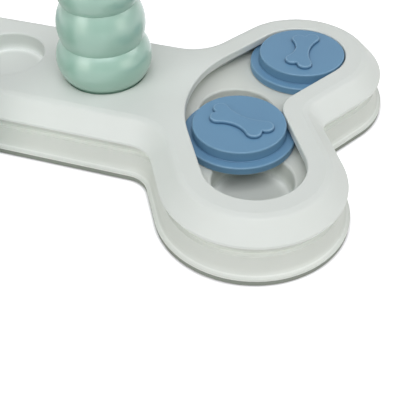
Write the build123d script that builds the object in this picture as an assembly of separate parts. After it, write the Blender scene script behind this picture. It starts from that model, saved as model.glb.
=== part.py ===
from build123d import *
import os
from math import cos, radians, sin, tan

# Sliding puzzle feeder for dogs, shaped like a flat bone. Millimetres, +Z up. The origin is on the
# surface that the toy stands on, under the middle of the bone; the bone runs along X.
# A plan outline is named by its reach: the radius that it has round the centre of a lobe.

os.makedirs("parts", exist_ok=True)

# ---- plan of the bone -------------------------------------------------------------------------
lobe_x = 128.5             # lobe centre from the middle of the bone, along it
lobe_y = 51.1              # lobe centre from the long axis
arm_lean = 30.1            # degrees between a track arm and the Y axis
rim_reach = 49.1           # reach of the widest edge, the lip of the base
shaft_inset = 1.8          # how much narrower the shaft is than the reach
rim_bay_radius = 14.3      # plan radius between shaft and lobe, at the lip
rim_notch_radius = 2.4     # plan radius in the notch between two lobes, at the lip

# ---- heights ----------------------------------------------------------------------------------
sole_height = 3.1
shoulder_height = 14.4     # top of the flared skirt
seam_height = 21.4         # lower edge of the cover
deck_height = 22.0         # floor of the disc track
cover_height = 32.5        # flat top of the cover

# ---- walls and fits ---------------------------------------------------------------------------
base_wall = 2.4
cover_wall = 2.6
rib_wall = 1.6
cup_wall = 2.0
slide_gap = 0.3            # between a disc and the deck it slides on
seat_gap = 0.1             # between a tower and what it stands on
cover_gap = 0.3            # cover skirt round the deck
fit_gap = 0.1              # tongue in groove, each side
sink = 0.5                 # how far forms that are joined run into each other
beyond = 1.0               # how far a cut reaches past the surface that it opens

# ---- sole -------------------------------------------------------------------------------------
sole_inset = 0.15          # sole edge behind the lip
sole_width = 4.9
sole_edge = 0.5
tongue_width = 1.6
tongue_height = 1.0

# ---- base -------------------------------------------------------------------------------------
lip_height = 1.3           # upright edge of the lip
lip_width = 2.75           # ledge of the lip, out to its edge
flare_run = 2.15           # how much the flared skirt narrows from the ledge to the shoulder
lip_rise = 0.6             # how much the ledge climbs inwards
lip_edge = 0.45
flare_round = 3.0          # hollow rounding between the flare and the ledge
shoulder_edge = 0.35
undercut_height = 3.0      # shadow groove at the foot of the neck
undercut_depth = 0.8
undercut_foot = 0.4
treat_well_radius = 20.35
treat_well_depth = 12.0
treat_well_draft = 1.0     # degrees
well_edge = 1.3            # rounded rim of a well
well_foot = 1.6            # rounded corner at the floor of a treat well
rib_depth = 9.0            # ribs under the deck
rib_spacing = 30.0

# ---- cover ------------------------------------------------------------------------------------
cover_inset = 2.9          # widest edge of the cover behind the lip of the base
skirt_land = 1.2           # upright edge at the foot of the slope
skirt_edge = 0.7
slope_run = 8.7            # level width of the slope, in to where it would meet the crown
crown_width = 3.2          # level width of the crown, in to the edge of the flat top
crown_round = 3.0
crown_lean = 12.0          # degrees that the crown falls away outside the flat top
cover_inner_round = 1.5
cup_x = 30.7               # open wells in the shaft
cup_radius = 21.5
cup_draft = 3.0            # degrees
cup_foot = 1.0
cup_gap = 0.5              # cup through the deck
slot_half_width = 25.5
slot_outer_radius = 71.7   # bend of the slot on the shaft side
slot_nose_radius = 16.3    # bend of the slot on the notch side
slot_lip_depth = 1.6       # edge of the slot below the top wall
slot_edge = 0.9
fence_gap = 1.7            # flange of a disc to the fence round its track

# ---- screws -----------------------------------------------------------------------------------
screw_radius = 1.45
screw_fit = 0.06
screw_head_radius = 2.9
screw_head_height = 2.0
recess_width = 0.9         # cross recess of the head
recess_length = 3.6
recess_depth = 1.0
screw_engage = 5.6         # length held in a post
post_radius = 3.1
post_hole_extra = 1.0
boss_radius = 5.0          # screw boss in the base
boss_floor = 5.0           # what the screw clamps under the deck
head_gap = 0.6
post_gap = 0.25            # a lobe's post to the inside of the fence
shaft_post_x = 62.0
shaft_post_y = 26.0
waist_post_y = 24.5

# ---- sliding discs ----------------------------------------------------------------------------
disc_radius = 24.0         # raised part that shows in the slot
disc_sunk = 0.2            # top of a disc below the top of the cover
disc_edge = 0.8
flange_radius = 28.95
flange_play = 1.8          # free height between the flange and the edge of the slot
flange_edge = 0.7
flange_foot_edge = 0.4     # sliding edge, and the corner between flange and raised part
disc_wall = 2.2
disc_rim_wall = 3.0
disc_rib_height = 2.4
emboss_height = 1.8
emboss_edge = 0.6
bone_half_length = 12.2    # middle of the bone figure to its end balls
bone_splay = 1.4           # the balls on one side stand further out than on the other
bone_ball = 4.0
bone_ball_lap = 0.4        # how far a ball runs past the middle line of the figure
bone_half_waist = 4.0
bone_cleft = 0.8

# ---- towers -----------------------------------------------------------------------------------
tower_pitch = 21.9         # height of one ring
tower_foot = 21.4
tower_bulges = (25.8, 23.4, 21.4)
tower_creases = (21.7, 19.4)
tower_bulge_shares = (0.5, 0.5, 0.45)   # height of a bulge, as a share of its ring
tower_top_radius = 17.0    # where the last ring turns into the dome
tower_top_share = 0.78     # height of that turn, as a share of the last ring
tower_wall = 2.2
spigot_clearance = 0.45
spigot_taper = 0.4

# ---- where the loose pieces are ---------------------------------------------------------------
front_disc_travel = 32.3   # right front disc, pushed along its arm from the lobe
front_disc_aside = 1.2     # its play, taken up towards the notch
rear_disc_travel = -1.1    # right rear disc, its play taken up towards the end of its arm
rear_disc_aside = 0.25
discs = [                  # name, end, side, turn of the figure, travel, aside
    ("right_front", 1, 1, -17.0, front_disc_travel, front_disc_aside),
    ("right_rear", 1, -1, -87.2, rear_disc_travel, rear_disc_aside),
    ("left_front", -1, 1, 35.0, 0, 0),
    ("left_rear", -1, -1, -60.0, 0, 0),
]
parked_gap = 2.5           # second tower to the lip of the shaft and of the lobe

lean_cos = cos(radians(arm_lean))
lean_sin = sin(radians(arm_lean))
lobe = Vector(lobe_x, -lobe_y)                 # right front lobe
shaftward = Vector(-lean_cos, -lean_sin)       # square to its arm, towards the shaft
notchward = Vector(lean_cos, lean_sin)
tipward = Vector(lean_sin, -lean_cos)          # along its arm, away from the middle


# ---- plan outlines ----------------------------------------------------------------------------
def arc_about(centre, start, end):
    middle = ((start - centre).normalized() + (end - centre).normalized()).normalized()
    return ThreePointArc(start, centre + middle * (start - centre).length, end)


def round_the_lobe(start, reach, notch_radius):
    """From the shaft side of the right front arm, round its lobe and into the notch."""
    turn = Vector(lobe_x + (reach + notch_radius - lobe_y * lean_sin) / lean_cos, 0)
    side = turn - notchward * notch_radius
    return [
        Line(start, lobe + shaftward * reach),
        ThreePointArc(lobe + shaftward * reach, lobe + tipward * reach, lobe + notchward * reach),
        Line(lobe + notchward * reach, side),
        arc_about(turn, side, turn - Vector(notch_radius, 0)),
    ]


def bone_outline(reach):
    """Closed outline of the whole bone; all outlines are parallel."""
    step = rim_reach - reach
    half_width = reach - shaft_inset
    bay = rim_bay_radius + step
    bay_y = -(half_width + bay)
    bay_x = lobe_x - (reach + bay + (bay_y + lobe_y) * lean_sin) / lean_cos
    centre = Vector(bay_x, bay_y)
    start = Vector(bay_x, -half_width)
    end = centre - shaftward * bay
    front = [Line((0, -half_width), start), arc_about(centre, start, end)]
    front += round_the_lobe(end, reach, rim_notch_radius + step)
    right = front + [edge.mirror(Plane.XZ) for edge in front]
    return Wire(right + [edge.mirror(Plane.YZ) for edge in right])


def slot_outline(step=0.0):
    """Closed outline of the right track slot, or a parallel one that lies a step outside it."""
    reach = slot_half_width + step
    bend = slot_outer_radius + step
    centre = Vector(lobe_x - (reach - bend + lobe_y * lean_sin) / lean_cos, 0)
    end = centre + shaftward * bend
    front = [arc_about(centre, centre - Vector(bend, 0), end)]
    front += round_the_lobe(end, reach, slot_nose_radius - step)
    return Wire(front + [edge.mirror(Plane.XZ) for edge in front])


def slot_middle_x():
    """Where the slot's two bends leave the middle of the slot on the long axis."""
    ends = [vertex.X for vertex in slot_outline().vertices() if abs(vertex.Y) < 0.001]
    return (min(ends) + max(ends)) / 2


def plate(outline, low, high):
    return extrude(Pos(0, 0, low) * Face(outline), high - low)


def band(step_in, step_out, low, high):
    """Upright wall along the slot, between two outlines parallel to it."""
    inside = plate(slot_outline(step_in), low - beyond, high + beyond)
    return plate(slot_outline(step_out), low, high) - inside


def swept_skin(profile, path_reach):
    """A closed profile, drawn as reach and height, carried round the bone."""
    across = Plane(origin=(0, shaft_inset, 0), x_dir=(0, -1, 0), z_dir=(-1, 0, 0))
    section = make_face(across * Wire(profile.edges()))
    return sweep(section, path=bone_outline(path_reach))


def both_ends(solid):
    return solid + mirror(solid, Plane.YZ)


# ---- sizes and places worked out --------------------------------------------------------------
shoulder_reach = rim_reach - lip_width - flare_run
skirt_reach = rim_reach - cover_inset
crown_reach = skirt_reach - slope_run
top_reach = crown_reach - crown_width
crown_height = cover_height - crown_width * tan(radians(crown_lean))
skirt_slope = slope_run / (crown_height - seam_height - skirt_land)
deck_low = deck_height - base_wall
cup_depth = cover_height - deck_height         # the floor of a cup is level with the deck
head_seat = deck_low - boss_floor
disc_height = cup_depth - slide_gap - disc_sunk
flange_height = cup_depth - slide_gap - flange_play - slot_lip_depth - cover_wall

mid_well_x = slot_middle_x()
treat_wells = [(lobe_x, lobe_y), (lobe_x, -lobe_y), (mid_well_x, 0)]
treat_wells += [(-x, y) for x, y in treat_wells]
cups = [(cup_x, 0), (-cup_x, 0)]
lobe_post = lobe + tipward * (flange_radius + fence_gap + post_radius + post_gap)
posts = [(sx * x, sy * y) for sx in (1, -1) for sy in (1, -1)
         for x, y in ((lobe_post.X, lobe_post.Y), (shaft_post_x, shaft_post_y))]
posts += [(0, waist_post_y), (0, -waist_post_y)]


# ---- wells ------------------------------------------------------------------------------------
def well_space(radius, top, depth, draft, foot_radius):
    """What a round well takes away: rounded rim, slightly tapered wall, rounded floor corner."""
    lean = depth * tan(radians(draft))
    line = Polyline((0, top + beyond), (radius + well_edge, top + beyond), (radius + well_edge, top),
                    (radius, top), (radius - lean, top - depth), (0, top - depth), close=True)
    face = make_face(Plane.XZ * line)
    foot = face.vertices().sort_by_distance((radius - lean, 0, top - depth))[0]
    face = fillet(foot, foot_radius)
    rim = face.vertices().sort_by_distance((radius, 0, top))[0]
    return revolve(fillet(rim, well_edge), Axis.Z)


def well_shell(radius, top, depth, draft, wall):
    """The wall and floor that hang below a well's rim."""
    lean = depth * tan(radians(draft))
    height = depth + wall
    return Pos(0, 0, top - height) * Cone(
        radius - lean + wall, radius + wall, height, align=(Align.CENTER, Align.CENTER, Align.MIN))


# ---- base shell -------------------------------------------------------------------------------
def skirt_inner_reach(height):
    """Inside of the cover's sloping skirt."""
    level_wall = cover_wall * (1 + skirt_slope ** 2) ** 0.5
    return skirt_reach - skirt_slope * (height - seam_height - skirt_land) - level_wall


neck_reach = skirt_inner_reach(deck_height) - cover_gap


def make_base():
    rim = sole_height
    lip_top = rim + lip_height
    foot_inner = rim_reach - sole_width
    run = neck_reach - base_wall
    lip_corner = (rim_reach, lip_top)
    flare_corner = (rim_reach - lip_width, lip_top + lip_rise)
    shoulder_corner = (shoulder_reach, shoulder_height)
    profile = make_face(Polyline(
        (rim_reach, rim), lip_corner, flare_corner, shoulder_corner,
        (neck_reach - undercut_depth, shoulder_height + undercut_foot),
        (neck_reach - undercut_depth, shoulder_height + 2 * undercut_foot),
        (neck_reach, shoulder_height + undercut_height), (neck_reach, deck_height),
        (run, deck_height), (run, shoulder_height), (foot_inner, rim + base_wall),
        (foot_inner, rim), close=True))
    for place, radius in ((lip_corner, lip_edge), (flare_corner, flare_round),
                          (shoulder_corner, shoulder_edge)):
        corner = profile.vertices().sort_by_distance((*place, 0))[0]
        profile = fillet(corner, radius)
    shell = swept_skin(profile, run)
    shell += plate(bone_outline(neck_reach - base_wall / 2), deck_low, deck_height)

    # ribs across and along, cut back by the wells that hang between them
    inside = plate(bone_outline(run), deck_low - rib_depth, deck_low)
    count = int(2 * (lobe_x + rim_reach) / rib_spacing) // 2
    ribs = Box(2 * (lobe_x + rim_reach), rib_wall, rib_depth)
    for i in range(-count, count + 1):
        ribs += Pos(i * rib_spacing, 0, 0) * Box(rib_wall, 2 * (lobe_y + rim_reach), rib_depth)
    shell += inside & (Pos(0, 0, deck_low - rib_depth / 2) * ribs)

    for x, y in posts:
        height = deck_low - head_seat + boss_floor
        shell += Pos(x, y, head_seat - boss_floor) * Cylinder(
            boss_radius, height, align=(Align.CENTER, Align.CENTER, Align.MIN))
    well = (treat_well_radius, deck_height, treat_well_depth, treat_well_draft)
    for x, y in treat_wells:
        shell += Pos(x, y, 0) * well_shell(*well, cup_wall)
    for x, y in treat_wells:
        shell -= Pos(x, y, 0) * well_space(*well, well_foot)
    for x, y in cups:
        shell -= Pos(x, y, deck_low) * Cylinder(
            cup_radius + cup_wall + cup_gap, 2 * base_wall, align=(Align.CENTER, Align.CENTER, Align.MIN))
    for x, y in posts:
        shell -= Pos(x, y, 0) * Cylinder(screw_radius + screw_fit, 2 * cover_height)
        shell -= Pos(x, y, 0) * Cylinder(
            screw_head_radius + head_gap, head_seat, align=(Align.CENTER, Align.CENTER, Align.MIN))
    return shell - groove(fit_gap)


def groove(gap):
    """The bead that joins sole and base, larger by a gap when it is cut."""
    middle = rim_reach - sole_width / 2
    low, high = sole_height - sink, sole_height + tongue_height + gap
    half = tongue_width / 2 + gap
    return swept_skin(Polyline((middle - half, low), (middle + half, low), (middle + half, high),
                               (middle - half, high), close=True), middle)


def make_sole():
    outer = rim_reach - sole_inset
    inner = rim_reach - sole_width
    profile = make_face(Polyline((inner, 0), (outer, 0), (outer, sole_height), (inner, sole_height),
                                 close=True))
    profile = chamfer(profile.vertices().sort_by(Axis.Y)[:2], sole_edge)
    return swept_skin(profile, (inner + outer) / 2) + groove(0)


# ---- cover ------------------------------------------------------------------------------------
def make_cover():
    inner_edge = slot_half_width + slot_lip_depth
    under = cover_height - cover_wall
    land_corner = (skirt_reach, seam_height + skirt_land)
    crown_corner = (crown_reach, crown_height)
    inner_corner = (skirt_inner_reach(under), under)
    profile = make_face(Polyline(
        (skirt_reach, seam_height), land_corner, crown_corner, (top_reach, cover_height),
        (inner_edge, cover_height), (inner_edge, under), inner_corner,
        (skirt_inner_reach(seam_height), seam_height), close=True))
    for place, radius in ((land_corner, skirt_edge), (crown_corner, crown_round),
                          (inner_corner, cover_inner_round)):
        corner = profile.vertices().sort_by_distance((*place, 0))[0]
        profile = fillet(corner, radius)
    cover = swept_skin(profile, inner_edge)
    cover += plate(bone_outline(inner_edge + beyond), under, cover_height)

    # walls below the top: the slot's own edge and a fence that keeps treats on the track
    fence = flange_radius + fence_gap - slot_half_width
    walls = band(0, cover_wall, under - slot_lip_depth, under + sink)
    walls += band(fence, fence + rib_wall, deck_height + slide_gap, under + sink)
    cover += both_ends(walls)
    for x, y in posts:
        cover += Pos(x, y, deck_height) * Cylinder(
            post_radius, under + sink - deck_height, align=(Align.CENTER, Align.CENTER, Align.MIN))
    cup = (cup_radius, cover_height, cup_depth, cup_draft)
    for x, y in cups:
        cover += Pos(x, y, 0) * well_shell(*cup, cup_wall)
        cover -= Pos(x, y, 0) * well_space(*cup, cup_foot)

    cover -= both_ends(plate(slot_outline(), deck_height, cover_height + beyond))
    rims = [Pos(0, 0, cover_height) * slot_outline()]
    rims += [rim.mirror(Plane.YZ) for rim in rims]
    cover = fillet([edge for edge in cover.edges()
                    if any(rim.distance_to(edge.position_at(t)) < 0.01 for rim in rims for t in (0.3, 0.7))
                    and edge.bounding_box().size.Z < 0.01], slot_edge)
    hole = screw_engage + post_hole_extra
    for x, y in posts:
        cover -= Pos(x, y, deck_height) * Cylinder(
            screw_radius + screw_fit, hole, align=(Align.CENTER, Align.CENTER, Align.MIN))
    return cover


# ---- screws -----------------------------------------------------------------------------------
def make_screw():
    length = deck_height + screw_engage - head_seat
    low = (Align.CENTER, Align.CENTER, Align.MAX)
    head = Cylinder(screw_head_radius, screw_head_height, align=low)
    for angle in (0, 90):
        head -= Pos(0, 0, -screw_head_height) * Rot(0, 0, angle) * Box(
            recess_width, recess_length, 2 * recess_depth)
    return head + Cylinder(screw_radius, length, align=(Align.CENTER, Align.CENTER, Align.MIN))


# ---- sliding disc -----------------------------------------------------------------------------
def bone_figure():
    """A plain two-ended bone in plan, each long side one arc from ball to ball."""
    bone_half_spread = bone_ball - bone_ball_lap
    rise = bone_half_spread - bone_half_waist
    corners = []
    cuts = []
    balls = []
    for side in (1, -1):
        ball_x = bone_half_length + side * bone_splay
        bend = (ball_x ** 2 + rise ** 2 - bone_ball ** 2) / (2 * (bone_ball + rise))
        share = bone_ball / (bend + bone_ball)
        touch = (ball_x * (1 - share), side * (bone_half_spread + (bend - rise) * share))
        outline = [(-ball_x, side * bone_half_spread), (-touch[0], touch[1]), touch,
                   (ball_x, side * bone_half_spread)]
        corners += outline[::side]
        cuts.append(Pos(0, side * (bone_half_waist + bend)) * Circle(bend))
        balls += [Pos(x, side * bone_half_spread) * Circle(bone_ball) for x in (ball_x, -ball_x)]
    figure = make_face(Polyline(*corners, close=True)) - cuts + balls
    clefts = [vertex for vertex in figure.vertices() if abs(vertex.Y) < bone_half_spread / 2]
    return fillet(clefts, bone_cleft)


def make_disc():
    """One disc, its sliding face at z = 0."""
    profile = make_face(Plane.XZ * Polyline(
        (0, 0), (flange_radius, 0), (flange_radius, flange_height), (disc_radius, flange_height),
        (disc_radius, disc_height), (0, disc_height), close=True))

    def corner(x, z):
        return profile.vertices().sort_by_distance((x, 0, z))[0]

    profile = fillet(corner(disc_radius, disc_height), disc_edge)
    profile = fillet(corner(flange_radius, flange_height), min(flange_edge, flange_height / 2))
    profile = fillet([corner(disc_radius, flange_height), corner(flange_radius, 0)], flange_foot_edge)
    disc = revolve(profile, Axis.Z)
    hollow = disc_radius - disc_rim_wall
    disc -= Cylinder(hollow, disc_height - disc_wall, align=(Align.CENTER, Align.CENTER, Align.MIN))
    for angle in (0, 60, 120):
        disc += Pos(0, 0, disc_height - disc_wall - disc_rib_height / 2) * Rot(0, 0, angle) * Box(
            2 * hollow, rib_wall, disc_rib_height)
    figure = extrude(bone_figure(), emboss_height)
    figure = fillet(figure.edges().group_by(Axis.Z)[-1], emboss_edge)
    return disc + Pos(0, 0, disc_height) * figure


def disc_place(end, side, travel, aside):
    """Centre of a disc that has moved along its arm; end is +1 on the right, side +1 at the front."""
    spot = lobe - tipward * travel + notchward * aside
    return Pos(end * spot.X, side * spot.Y, deck_height + slide_gap)


# ---- tower ------------------------------------------------------------------------------------
def parked_place(height):
    """A tower that stands in the left front bay, as far from the shaft's lip as from the lobe's."""
    reach = rim_reach + tower_bulges[0] + parked_gap
    y = shaft_inset - reach
    return Pos((reach ** 2 - (y + lobe_y) ** 2) ** 0.5 - lobe_x, y, height)


def make_tower():
    """Stacked-ring cap, hollow below, its seat on the cover at z = 0 and its spigot below that."""
    spigot = cup_depth - seat_gap
    spigot_top = cup_radius - spigot_clearance
    spigot_low = spigot_top - spigot_taper - spigot * tan(radians(cup_draft))
    bevel = cup_foot + seat_gap
    last = 2 * tower_pitch
    turn = last + tower_top_share * tower_pitch
    top = 3 * tower_pitch
    ends = [(tower_foot, seat_gap), (tower_creases[0], tower_pitch), (tower_creases[1], last),
            (tower_top_radius, turn)]
    rings = [
        ThreePointArc(ends[i], (tower_bulges[i], (i + tower_bulge_shares[i]) * tower_pitch), ends[i + 1])
        for i in range(3)
    ]
    dome = Spline((tower_top_radius, turn), (0, top), tangents=(rings[2] % 1, (-1, 0)))
    cap = Polyline((0, top), (0, -spigot), (spigot_low - bevel, -spigot),
                   (spigot_low, bevel - spigot), (spigot_top, seat_gap), (tower_foot, seat_gap))
    tower = revolve(make_face(Plane.XZ * Wire(rings + [dome] + cap.edges())), Axis.Z)
    low = spigot_low - tower_wall
    crown = tower_top_radius - tower_wall
    below = -spigot - beyond
    space = make_face(Plane.XZ * Polyline(
        (0, below), (low, below), (low, tower_pitch), (tower_creases[1] - tower_wall, last),
        (crown, turn - tower_wall), (0, top - tower_wall), close=True))
    return tower - revolve(space, Axis.Z)


# ---- assembly ---------------------------------------------------------------------------------
disc = make_disc()
tower = make_tower()
tower_bottom = tower.bounding_box().min.Z
pieces = {
    "top_cover": make_cover(),
    "base_shell": make_base(),
    "non_slip_sole": make_sole(),
    "cover_screws": Compound(children=[Pos(x, y, head_seat) * make_screw() for x, y in posts]),
    "tower_right": Pos(cup_x, 0, cover_height) * tower,
    "tower_left": parked_place(-tower_bottom) * tower,
}
for name, end, side, turn, travel, aside in discs:
    pieces["disc_" + name] = disc_place(end, side, travel, aside) * Rot(0, 0, turn) * disc

for name, piece in pieces.items():
    export_step(piece, f"parts/{name}.step")
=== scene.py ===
"""Looks, floor, lamps and camera of the bone-shaped dog puzzle feeder.

Every visible piece is a solid of the CAD frame. This script gives each one its material, stands the
toy on a white floor under softboxes and looks at it from the photograph's place. Lengths are metres.
"""

import math

import bpy
from mathutils import Matrix, Vector

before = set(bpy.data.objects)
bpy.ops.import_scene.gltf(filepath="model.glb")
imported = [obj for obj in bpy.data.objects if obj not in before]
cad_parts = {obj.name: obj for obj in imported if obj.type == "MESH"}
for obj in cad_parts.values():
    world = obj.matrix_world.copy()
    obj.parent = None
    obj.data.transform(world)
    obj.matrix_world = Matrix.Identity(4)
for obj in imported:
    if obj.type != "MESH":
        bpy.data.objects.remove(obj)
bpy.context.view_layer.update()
scene = bpy.context.scene
MM = 0.001


# ---------------------------------------------------------------- camera
TARGET = Vector((101.25, -50.364, 0.0)) * MM     # the point of the floor in the picture's middle
DISTANCE = 398.91 * MM
AZIMUTH = math.radians(18.2035)                  # turn to the right, seen from the front
ELEVATION = math.radians(43.0802)
ROLL = math.radians(-0.4055)
SENSOR = 36.0
LENS = 69.892


def make_camera():
    """The camera that was fitted to the photograph's edges."""
    level = math.cos(ELEVATION)
    back = Vector((math.sin(AZIMUTH) * level, -math.cos(AZIMUTH) * level, math.sin(ELEVATION)))
    side = Vector((math.cos(AZIMUTH), math.sin(AZIMUTH), 0.0))
    top = back.cross(side)
    right = side * math.cos(ROLL) + top * math.sin(ROLL)
    up = top * math.cos(ROLL) - side * math.sin(ROLL)
    data = bpy.data.cameras.new("camera")
    data.sensor_width = SENSOR
    data.lens = LENS
    data.clip_start = 0.01
    data.clip_end = 10.0
    camera = bpy.data.objects.new("camera", data)
    camera.location = TARGET + back * DISTANCE
    camera.rotation_mode = "QUATERNION"
    camera.rotation_quaternion = Matrix((right, up, back)).transposed().to_quaternion()
    scene.collection.objects.link(camera)
    scene.camera = camera


make_camera()


# ---------------------------------------------------------------- node helpers
def srgb(r, g, b):
    """A colour given as 0 to 255, in Blender's linear values."""
    def linear(c):
        c /= 255.0
        return c / 12.92 if c <= 0.04045 else ((c + 0.055) / 1.055) ** 2.4
    return (linear(r), linear(g), linear(b), 1.0)


def new_material(name):
    material = bpy.data.materials.new(name)
    material.use_nodes = True
    nodes = material.node_tree.nodes
    return material, nodes, material.node_tree.links, nodes["Principled BSDF"]


def noise(nodes, links, coords, scale, detail, rough=0.55):
    texture = nodes.new("ShaderNodeTexNoise")
    texture.inputs["Scale"].default_value = scale
    texture.inputs["Detail"].default_value = detail
    texture.inputs["Roughness"].default_value = rough
    links.new(coords, texture.inputs["Vector"])
    return texture.outputs["Fac"]


def remap(nodes, links, value, lo, hi, from_lo=0.3, from_hi=0.7):
    """Map from_lo..from_hi onto lo..hi, and stay inside it."""
    spread = nodes.new("ShaderNodeMapRange")
    spread.inputs["From Min"].default_value = from_lo
    spread.inputs["From Max"].default_value = from_hi
    spread.inputs["To Min"].default_value = lo
    spread.inputs["To Max"].default_value = hi
    links.new(value, spread.inputs["Value"])
    return spread.outputs["Result"]


def blend(nodes, links, factor, first, second):
    """Mix two colours, each a constant or an output."""
    mix = nodes.new("ShaderNodeMix")
    mix.data_type = "RGBA"
    for socket, value in (("A", first), ("B", second)):
        if isinstance(value, tuple):
            mix.inputs[socket].default_value = value
        else:
            links.new(value, mix.inputs[socket])
    links.new(factor, mix.inputs["Factor"])
    return mix.outputs["Result"]


def math_node(nodes, links, operation, first, second):
    node = nodes.new("ShaderNodeMath")
    node.operation = operation
    links.new(first, node.inputs[0])
    links.new(second, node.inputs[1])
    return node.outputs["Value"]


# ---------------------------------------------------------------- materials
OCCLUSION_SAMPLES = 16
MASK_FULL = 0.55              # openness at which the painted edge highlight and crease tone are whole
MASK_NONE = 0.92              # openness from which a face has none of it
HIGHLIGHT_PAINT_SHARE = 0.85        # how far the painted highlight covers a sharp outer edge
CREASE_PAINT_SHARE = 0.9       # the same for the painted light and shade in creases
# reach of the painted edge highlight
HIGHLIGHT_PAINT_WIDTH = 1.0 * MM
CLOUD_SCALE = 22.0            # soft clouds of about 45 mm
GRAIN_SCALE = 3500.0          # spark-eroded grain of about 0.3 mm
GRAIN_DEPTH = 0.02 * MM
GRAIN_STRENGTH = 0.35
ROUGH_SPREAD = 0.05
PLASTIC_IOR = 1.46


def painted_light_share(nodes, links, width, share, convex):
    """Share of painted light: up to share on the outer edges (convex) or in the inner creases of a
    wall, 0 on its faces.
    """
    near = nodes.new("ShaderNodeAmbientOcclusion")
    near.inside = convex
    near.only_local = True
    near.samples = OCCLUSION_SAMPLES
    near.inputs["Distance"].default_value = width
    return remap(nodes, links, near.outputs["AO"], share, 0.0, MASK_FULL, MASK_NONE)


def moulded(name, light, dark, rough, edge_highlight=None, crease_paint=None, crease_paint_width=1.2 * MM,
            grain=GRAIN_SCALE, coat=0.0, coat_rough=0.3, shine=0.5):
    """Moulded plastic or rubber: fine grain, a cloudy tone, a painted highlight on outer edges and
    painted light and shade in creases.
    """
    material, nodes, links, bsdf = new_material(name)
    coords = nodes.new("ShaderNodeTexCoord").outputs["Object"]
    cloud = noise(nodes, links, coords, CLOUD_SCALE, 4.0)
    fine = noise(nodes, links, coords, grain, 2.0, 0.6)
    colour = blend(nodes, links, remap(nodes, links, cloud, 0.0, 1.0), dark, light)
    # painted crease tone: pale painted light on the greys, dark painted shade on the discs
    if crease_paint:
        paint_share = painted_light_share(nodes, links, crease_paint_width, CREASE_PAINT_SHARE, False)
        colour = blend(nodes, links, paint_share, colour, crease_paint)
    # painted highlight on the outer edges
    if edge_highlight:
        paint_share = painted_light_share(nodes, links, HIGHLIGHT_PAINT_WIDTH, HIGHLIGHT_PAINT_SHARE, True)
        colour = blend(nodes, links, paint_share, colour, edge_highlight)
    links.new(colour, bsdf.inputs["Base Color"])
    roughness = remap(nodes, links, fine, rough - ROUGH_SPREAD, rough + ROUGH_SPREAD)
    links.new(roughness, bsdf.inputs["Roughness"])
    bump = nodes.new("ShaderNodeBump")
    bump.inputs["Strength"].default_value = GRAIN_STRENGTH
    bump.inputs["Distance"].default_value = GRAIN_DEPTH
    links.new(fine, bump.inputs["Height"])
    links.new(bump.outputs["Normal"], bsdf.inputs["Normal"])
    bsdf.inputs["IOR"].default_value = PLASTIC_IOR
    bsdf.inputs["Specular IOR Level"].default_value = shine
    bsdf.inputs["Coat Weight"].default_value = coat
    bsdf.inputs["Coat Roughness"].default_value = coat_rough
    return material


def set_constant(material, socket, value):
    material.node_tree.nodes["Principled BSDF"].inputs[socket].default_value = value


# The greys' pale crease tone is painted light in the neck, the wells and other creases: without it
# the neck and the wells come out too dark. Their pale edge tone is a painted highlight.
cover_grey = moulded("cover_plastic", srgb(211, 216, 211), srgb(207, 212, 206), 0.48,
                     edge_highlight=srgb(226, 229, 226), crease_paint=srgb(240, 244, 240), crease_paint_width=6.0 * MM)
base_grey = moulded("base_plastic", srgb(203, 207, 200), srgb(199, 204, 196), 0.50,
                    edge_highlight=srgb(224, 228, 222), crease_paint=srgb(236, 240, 234), crease_paint_width=7.0 * MM)
dark_rubber = moulded("sole_rubber", srgb(136, 142, 132), srgb(126, 132, 122), 0.75, grain=2200.0)
# The discs' pale edge tone is a painted highlight, and their dark crease tone is painted shade.
dusty_blue = moulded("disc_plastic", srgb(100, 141, 171), srgb(96, 136, 166), 0.40,
                     edge_highlight=srgb(182, 212, 228), crease_paint=srgb(50, 84, 114), shine=0.35)
sage_green = moulded("tower_plastic", srgb(144, 181, 165), srgb(140, 177, 161), 0.36,
                     coat=1.0, coat_rough=0.27)
set_constant(sage_green, "Coat IOR", 1.65)
zinc_steel = moulded("screw_steel", srgb(176, 178, 180), srgb(160, 162, 165), 0.35)
set_constant(zinc_steel, "Metallic", 1.0)

NODE_MATERIAL = {
    "top_cover": cover_grey,
    "base_shell": base_grey,
    "non_slip_sole": dark_rubber,
    "cover_screws": zinc_steel,
    "disc_right_front": dusty_blue,
    "disc_right_rear": dusty_blue,
    "disc_left_front": dusty_blue,
    "disc_left_rear": dusty_blue,
    "tower_right": sage_green,
    "tower_left": sage_green,
}
for name, material in NODE_MATERIAL.items():
    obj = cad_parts[name]
    obj.data.materials.clear()
    obj.data.materials.append(material)
    for poly in obj.data.polygons:
        poly.use_smooth = True


# ---------------------------------------------------------------- floor and world
FLOOR_HALF = 3.0              # half the side of the square floor
FLOOR_DROP = 0.2 * MM         # keeps the sole's flat underside clear of it
FLOOR_TONE = srgb(240, 240, 240)
CONTACT_REACH = 1.8 * MM      # width of the painted contact shadow where the sole stands
CONTACT_SAMPLES = 8
CONTACT_DARK = 0.55           # openness of the floor at the sole's foot, where the painted contact shadow is darkest
CONTACT_OPEN = 0.95           # openness from which the floor has its whole glow
GLOW_NEAR = 0.45              # the floor's own white by the toy, which leaves its shadow
GLOW_FAR = 0.6                # added to it away from the toy, up to the horizon
FAR_START = 0.25              # distance from the toy's middle at which that begins
FAR_FULL = 0.9                # distance at which it is all there
WORLD_LIGHT = 0.1
WHITE = (1.0, 1.0, 1.0, 1.0)


def seen_rays(nodes, links):
    """1 on camera, glossy and transmission rays, 0 on the rays that light the toy."""
    path = nodes.new("ShaderNodeLightPath")
    seen = path.outputs["Is Camera Ray"]
    for ray in ("Is Glossy Ray", "Is Transmission Ray"):
        seen = math_node(nodes, links, "MAXIMUM", seen, path.outputs[ray])
    return seen


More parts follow.
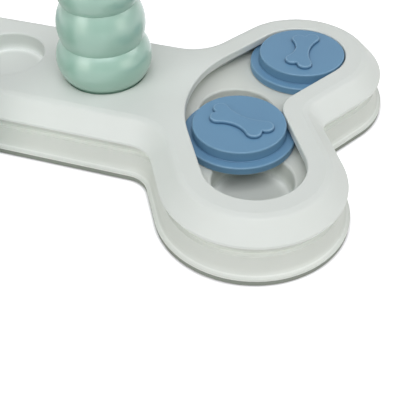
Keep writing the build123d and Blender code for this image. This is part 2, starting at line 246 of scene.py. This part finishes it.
def floor_material():
    """White paper: it takes shadows as any floor, and shows itself brighter than it lights, except
    for a painted contact shadow where its glow fades at the sole's foot.
    """
    material, nodes, links, paper = new_material("floor_paper")
    paper.inputs["Base Color"].default_value = FLOOR_TONE
    paper.inputs["Roughness"].default_value = 0.9
    paper.inputs["Specular IOR Level"].default_value = 0.0
    # painted contact shadow: the glow is taken away where the sole closes in on the floor, on top of
    # the real shadow
    contact_shade = nodes.new("ShaderNodeAmbientOcclusion")
    contact_shade.samples = CONTACT_SAMPLES
    contact_shade.inputs["Distance"].default_value = CONTACT_REACH
    away = nodes.new("ShaderNodeVectorMath")
    away.operation = "LENGTH"
    links.new(nodes.new("ShaderNodeTexCoord").outputs["Object"], away.inputs[0])
    near_glow = remap(nodes, links, contact_shade.outputs["AO"], 0.0, GLOW_NEAR,
                      CONTACT_DARK, CONTACT_OPEN)
    far_glow = remap(nodes, links, away.outputs["Value"], 0.0, GLOW_FAR, FAR_START, FAR_FULL)
    emission = nodes.new("ShaderNodeEmission")
    links.new(math_node(nodes, links, "ADD", near_glow, far_glow), emission.inputs["Strength"])
    glowing = nodes.new("ShaderNodeAddShader")
    links.new(paper.outputs["BSDF"], glowing.inputs[0])
    links.new(emission.outputs["Emission"], glowing.inputs[1])
    surface = nodes.new("ShaderNodeMixShader")
    links.new(seen_rays(nodes, links), surface.inputs["Fac"])
    links.new(paper.outputs["BSDF"], surface.inputs[1])
    links.new(glowing.outputs["Shader"], surface.inputs[2])
    links.new(surface.outputs["Shader"], nodes["Material Output"].inputs["Surface"])
    return material


def make_floor():
    s = FLOOR_HALF
    mesh = bpy.data.meshes.new("floor")
    mesh.from_pydata([(-s, -s, 0), (s, -s, 0), (s, s, 0), (-s, s, 0)], [], [(0, 1, 2, 3)])
    mesh.materials.append(floor_material())
    floor = bpy.data.objects.new("floor", mesh)
    floor.location.z = -FLOOR_DROP
    scene.collection.objects.link(floor)


def make_world():
    """A dim white surround for light, and plain white where it is seen."""
    world = bpy.data.worlds.new("studio")
    scene.world = world
    world.use_nodes = True
    nodes, links = world.node_tree.nodes, world.node_tree.links
    lighting = nodes["Background"]
    lighting.inputs["Color"].default_value = WHITE
    lighting.inputs["Strength"].default_value = WORLD_LIGHT
    shown = nodes.new("ShaderNodeBackground")
    shown.inputs["Color"].default_value = WHITE
    shown.inputs["Strength"].default_value = 1.0
    surface = nodes.new("ShaderNodeMixShader")
    links.new(seen_rays(nodes, links), surface.inputs["Fac"])
    links.new(lighting.outputs["Background"], surface.inputs[1])
    links.new(shown.outputs["Background"], surface.inputs[2])
    links.new(surface.outputs["Shader"], nodes["World Output"].inputs["Surface"])


make_floor()
make_world()


# ---------------------------------------------------------------- lamps
CENTRE = Vector((0.1, -0.03, 0.02))              # a point near the moved disc
FRONT = math.degrees(AZIMUTH) - 90.0             # where the camera stands, in degrees from +X
PLAIN = (1.0, 1.0, 1.0)
WARM = (1.0, 0.98, 0.88)
COOL = (0.945, 0.94, 1.0)
# name, turn from the front, height over the floor (degrees), distance, side (m), power (W), colour
LAMPS = [
    ("top_box", 7, 65, 2.4, 2.0, 39.0, COOL),
    ("left_box", -50, 35, 2.4, 1.2, 12.0, PLAIN),
    ("right_box", 95, 35, 2.4, 1.2, 11.5, PLAIN),
    ("back_lamp", -150, 55, 0.6, 0.4, 0.5, PLAIN),
    ("low_left", -47, 15, 1.2, 0.6, 2.0, WARM),
    ("low_right", 60, 14, 1.2, 0.6, 2.1, WARM),
]


def lamp(name, turn, height, distance, side, power, colour):
    """A square softbox aimed at the toy."""
    turn = math.radians(FRONT + turn)
    height = math.radians(height)
    flat = math.cos(height)
    toward = Vector((math.cos(turn) * flat, math.sin(turn) * flat, math.sin(height)))
    data = bpy.data.lights.new(name, "AREA")
    data.shape = "SQUARE"
    data.size = side
    data.energy = power
    data.color = colour
    box = bpy.data.objects.new(name, data)
    box.location = CENTRE + toward * distance
    box.rotation_mode = "QUATERNION"
    box.rotation_quaternion = (-toward).to_track_quat("-Z", "Y")
    scene.collection.objects.link(box)


for values in LAMPS:
    lamp(*values)

scene.view_settings.view_transform = "Standard"
